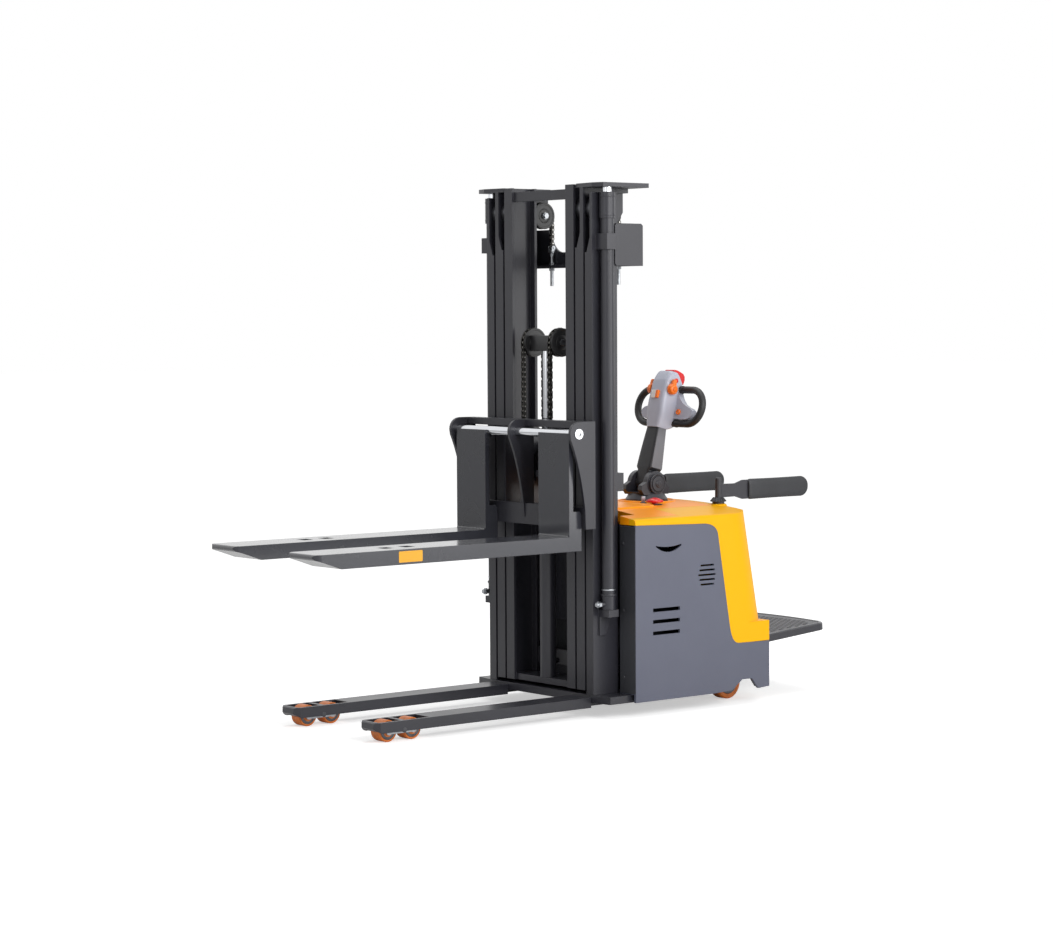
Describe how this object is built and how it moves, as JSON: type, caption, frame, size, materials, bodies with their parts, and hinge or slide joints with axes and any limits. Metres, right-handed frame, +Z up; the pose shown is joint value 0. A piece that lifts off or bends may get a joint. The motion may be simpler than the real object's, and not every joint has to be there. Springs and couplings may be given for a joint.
{
  "type": "electric pallet stacker",
  "caption": "Electric stacker with straddle legs, a three-stage mast with free lift, a fork carriage on a chromed shaft, a tiller, a fold-down platform and two padded side arms",
  "frame": {"origin": "middle of the overall box on the floor", "axes": "+Z up, forks towards -Y, platform towards +Y, +X towards the driver's left as the driver faces the forks"},
  "size_m": [0.85, 2.5483, 2.02],
  "materials": {
    "frame_paint": "satin powder coat",
    "panel_paint": "satin paint",
    "hood_plastic": "glossy moulded",
    "cover_plastic": "glossy moulded",
    "battery_case": "moulded",
    "machine_paint": "enamel",
    "zinc_steel": "zinc plated",
    "chrome_rod": "hard chrome",
    "chain_steel": "oiled",
    "roller_steel": "ground",
    "wheel_polyurethane": "cast polyurethane",
    "column_plastic": "moulded",
    "head_plastic": "moulded",
    "grip_rubber": "moulded",
    "pad_rubber": "soft skin",
    "orange_control": "moulded",
    "red_control": "moulded"
  },
  "bodies": {
    "frame": {"chassis": "frame_paint", "straddle_legs": "frame_paint", "outer_mast": "frame_paint", "side_cylinder_tubes": "frame_paint", "mast_chain_anchors": "zinc_steel", "left_side_panel": "panel_paint", "right_side_panel": "panel_paint", "hood": "hood_plastic", "rear_cover": "cover_plastic", "battery": "battery_case", "hydraulic_unit": "machine_paint"},
    "mid_stage": {"mid_mast": "frame_paint", "side_cylinder_rods": "chrome_rod", "mast_chain_rear": "chain_steel"},
    "mast_pulleys": {"mast_pulleys": "roller_steel"},
    "outer_top_rollers": {"outer_top_rollers": "roller_steel"},
    "mid_lower_rollers": {"mid_lower_rollers": "roller_steel"},
    "mid_top_rollers": {"mid_top_rollers": "roller_steel"},
    "inner_lower_rollers": {"inner_lower_rollers": "roller_steel"},
    "inner_stage": {"inner_mast": "frame_paint", "free_lift_tube": "frame_paint", "mast_chain_front": "chain_steel"},
    "lift_head": {"free_lift_rod": "chrome_rod", "carriage_chain_rear": "chain_steel"},
    "crosshead_wheels": {"crosshead_wheels": "roller_steel"},
    "carriage": {"carriage_frame": "frame_paint", "fork_shaft": "chrome_rod", "left_fork": "frame_paint", "right_fork": "frame_paint", "carriage_chain_front": "chain_steel"},
    "carriage_upper_rollers": {"carriage_upper_rollers": "roller_steel"},
    "carriage_lower_rollers": {"carriage_lower_rollers": "roller_steel"},
    "steering": {"drive_unit": "frame_paint", "tiller_base": "frame_paint"},
    "drive_wheel": {"drive_wheel": "wheel_polyurethane"},
    "tiller": {"tiller_column": "column_plastic", "tiller_head": "head_plastic", "tiller_grips": "grip_rubber"},
    "throttle": {"throttle": "orange_control"},
    "belly_switch": {"belly_switch": "red_control"},
    "lift_button": {"lift_button": "orange_control"},
    "lower_button": {"lower_button": "orange_control"},
    "horn_button": {"horn_button": "orange_control"},
    "emergency_stop": {"emergency_stop": "red_control"},
    "ignition_key": {"ignition_key": "zinc_steel"},
    "left_castor_fork": {"left_castor_fork": "zinc_steel"},
    "right_castor_fork": {"right_castor_fork": "zinc_steel"},
    "left_castor_wheel": {"left_castor_wheel": "wheel_polyurethane"},
    "right_castor_wheel": {"right_castor_wheel": "wheel_polyurethane"},
    "left_bogie": {"left_bogie": "zinc_steel"},
    "right_bogie": {"right_bogie": "zinc_steel"},
    "left_front_load_roller": {"left_front_load_roller": "wheel_polyurethane"},
    "left_rear_load_roller": {"left_rear_load_roller": "wheel_polyurethane"},
    "right_front_load_roller": {"right_front_load_roller": "wheel_polyurethane"},
    "right_rear_load_roller": {"right_rear_load_roller": "wheel_polyurethane"},
    "platform": {"platform": "frame_paint"},
    "left_arm": {"left_arm": "frame_paint", "left_arm_pad": "pad_rubber"},
    "right_arm": {"right_arm": "frame_paint", "right_arm_pad": "pad_rubber"}
  },
  "joints": [
    {"name": "mast_lift", "type": "slide", "parent": "frame", "child": "mid_stage", "axis": [0, 0, 1], "range_m": [0, 1.3], "deforming": ["mast_chain_rear"]},
    {"name": "inner_lift", "type": "slide", "parent": "mid_stage", "child": "inner_stage", "axis": [0, 0, 1], "range_m": [0, 1.3], "deforming": ["mast_chain_front"]},
    {"name": "free_lift", "type": "slide", "parent": "inner_stage", "child": "lift_head", "axis": [0, 0, 1], "range_m": [-0.302, 0.42], "deforming": ["carriage_chain_rear"]},
    {"name": "carriage_lift", "type": "slide", "parent": "lift_head", "child": "carriage", "axis": [0, 0, 1], "range_m": [-0.302, 0.42], "deforming": ["carriage_chain_front"]},
    {"name": "crosshead_wheel_spin", "type": "hinge", "parent": "lift_head", "child": "crosshead_wheels", "pos_m": [0, 0.054, 1.42], "axis": [1, 0, 0], "continuous": true},
    {"name": "mast_pulley_spin", "type": "hinge", "parent": "mid_stage", "child": "mast_pulleys", "pos_m": [0, 0.201, 1.915], "axis": [1, 0, 0], "continuous": true},
    {"name": "outer_top_roller_spin", "type": "hinge", "parent": "frame", "child": "outer_top_rollers", "pos_m": [0, 0.0775, 1.925], "axis": [1, 0, 0], "continuous": true},
    {"name": "mid_lower_roller_spin", "type": "hinge", "parent": "mid_stage", "child": "mid_lower_rollers", "pos_m": [0, 0.0775, 0.19], "axis": [1, 0, 0], "continuous": true},
    {"name": "mid_top_roller_spin", "type": "hinge", "parent": "mid_stage", "child": "mid_top_rollers", "pos_m": [0, 0.0775, 1.925], "axis": [1, 0, 0], "continuous": true},
    {"name": "inner_lower_roller_spin", "type": "hinge", "parent": "inner_stage", "child": "inner_lower_rollers", "pos_m": [0, 0.0775, 0.19], "axis": [1, 0, 0], "continuous": true},
    {"name": "carriage_upper_roller_spin", "type": "hinge", "parent": "carriage", "child": "carriage_upper_rollers", "pos_m": [0, 0.0775, 1.05], "axis": [1, 0, 0], "continuous": true},
    {"name": "carriage_lower_roller_spin", "type": "hinge", "parent": "carriage", "child": "carriage_lower_rollers", "pos_m": [0, 0.0775, 0.8], "axis": [1, 0, 0], "continuous": true},
    {"name": "steer", "type": "hinge", "parent": "frame", "child": "steering", "pos_m": [0, 0.566, 0.15], "axis": [0, 0, 1], "range_deg": [-90, 90]},
    {"name": "drive_wheel_spin", "type": "hinge", "parent": "steering", "child": "drive_wheel", "pos_m": [0, 0.566, 0.115], "axis": [1, 0, 0], "continuous": true},
    {"name": "tiller_tilt", "type": "hinge", "parent": "steering", "child": "tiller", "pos_m": [0, 0.566, 0.854], "axis": [-1, 0, 0], "range_deg": [0, 55], "stiffness_Nm_per_rad": 30, "springref_deg": -11.46},
    {"name": "throttle_turn", "type": "hinge", "parent": "tiller", "child": "throttle", "pos_m": [0, 0.65308, 1.22805], "axis": [1, 0, 0], "range_deg": [-30, 30], "stiffness_Nm_per_rad": 0.6},
    {"name": "belly_switch_press", "type": "slide", "parent": "tiller", "child": "belly_switch", "axis": [0, -0.2419, -0.9703], "range_m": [0, 0.004], "stiffness_N_per_m": 1500},
    {"name": "lift_button_press", "type": "slide", "parent": "tiller", "child": "lift_button", "axis": [0, 0.9703, -0.2419], "range_m": [0, 0.004], "stiffness_N_per_m": 600},
    {"name": "lower_button_press", "type": "slide", "parent": "tiller", "child": "lower_button", "axis": [0, 0.9703, -0.2419], "range_m": [0, 0.004], "stiffness_N_per_m": 600},
    {"name": "horn_button_press", "type": "slide", "parent": "tiller", "child": "horn_button", "axis": [0, 0.9703, -0.2419], "range_m": [0, 0.003], "stiffness_N_per_m": 600},
    {"name": "emergency_stop_press", "type": "slide", "parent": "frame", "child": "emergency_stop", "axis": [0, 0, -1], "range_m": [0, 0.005]},
    {"name": "key_turn", "type": "hinge", "parent": "frame", "child": "ignition_key", "pos_m": [0.105, 0.456, 0.79], "axis": [0, 0, 1], "range_deg": [0, 90]},
    {"name": "left_castor_swivel", "type": "hinge", "parent": "frame", "child": "left_castor_fork", "pos_m": [0.243, 0.726, 0.17], "axis": [0, 0, 1], "continuous": true},
    {"name": "left_castor_spin", "type": "hinge", "parent": "left_castor_fork", "child": "left_castor_wheel", "pos_m": [0.243, 0.76175, 0.065], "axis": [1, 0, 0], "continuous": true},
    {"name": "right_castor_swivel", "type": "hinge", "parent": "frame", "child": "right_castor_fork", "pos_m": [-0.243, 0.726, 0.17], "axis": [0, 0, 1], "continuous": true},
    {"name": "right_castor_spin", "type": "hinge", "parent": "right_castor_fork", "child": "right_castor_wheel", "pos_m": [-0.243, 0.76175, 0.065], "axis": [1, 0, 0], "continuous": true},
    {"name": "left_bogie_rock", "type": "hinge", "parent": "frame", "child": "left_bogie", "pos_m": [0.252, -0.869, 0.042], "axis": [1, 0, 0], "range_deg": [-4, 4]},
    {"name": "left_front_roller_spin", "type": "hinge", "parent": "left_bogie", "child": "left_front_load_roller", "pos_m": [0.252, -0.923, 0.04], "axis": [1, 0, 0], "continuous": true},
    {"name": "left_rear_roller_spin", "type": "hinge", "parent": "left_bogie", "child": "left_rear_load_roller", "pos_m": [0.252, -0.815, 0.04], "axis": [1, 0, 0], "continuous": true},
    {"name": "right_bogie_rock", "type": "hinge", "parent": "frame", "child": "right_bogie", "pos_m": [-0.252, -0.869, 0.042], "axis": [1, 0, 0], "range_deg": [-4, 4]},
    {"name": "right_front_roller_spin", "type": "hinge", "parent": "right_bogie", "child": "right_front_load_roller", "pos_m": [-0.252, -0.923, 0.04], "axis": [1, 0, 0], "continuous": true},
    {"name": "right_rear_roller_spin", "type": "hinge", "parent": "right_bogie", "child": "right_rear_load_roller", "pos_m": [-0.252, -0.815, 0.04], "axis": [1, 0, 0], "continuous": true},
    {"name": "platform_fold", "type": "hinge", "parent": "frame", "child": "platform", "pos_m": [0, 0.841, 0.235], "axis": [1, 0, 0], "range_deg": [-4.5, 78], "stiffness_Nm_per_rad": 120, "springref_deg": 35.52},
    {"name": "left_arm_swing", "type": "hinge", "parent": "frame", "child": "left_arm", "pos_m": [0.247, 0.726, 0.78], "axis": [0, 0, -1], "range_deg": [0, 180]},
    {"name": "right_arm_swing", "type": "hinge", "parent": "frame", "child": "right_arm", "pos_m": [-0.247, 0.726, 0.78], "axis": [0, 0, 1], "range_deg": [0, 180]}
  ],
  "couplings": [
    {"joint": "inner_lift", "follows": "mast_lift", "ratio": 1},
    {"joint": "mast_pulley_spin", "follows": "mast_lift", "rad_per_m": -21.277},
    {"joint": "outer_top_roller_spin", "follows": "mast_lift", "rad_per_m": 19.92},
    {"joint": "mid_lower_roller_spin", "follows": "mast_lift", "rad_per_m": -19.92},
    {"joint": "mid_top_roller_spin", "follows": "mast_lift", "rad_per_m": 19.92},
    {"joint": "inner_lower_roller_spin", "follows": "mast_lift", "rad_per_m": -19.92},
    {"joint": "carriage_lift", "follows": "free_lift", "ratio": 1},
    {"joint": "crosshead_wheel_spin", "follows": "free_lift", "rad_per_m": -20},
    {"joint": "carriage_upper_roller_spin", "follows": "free_lift", "rad_per_m": 39.841},
    {"joint": "carriage_lower_roller_spin", "follows": "free_lift", "rad_per_m": -39.841}
  ]
}
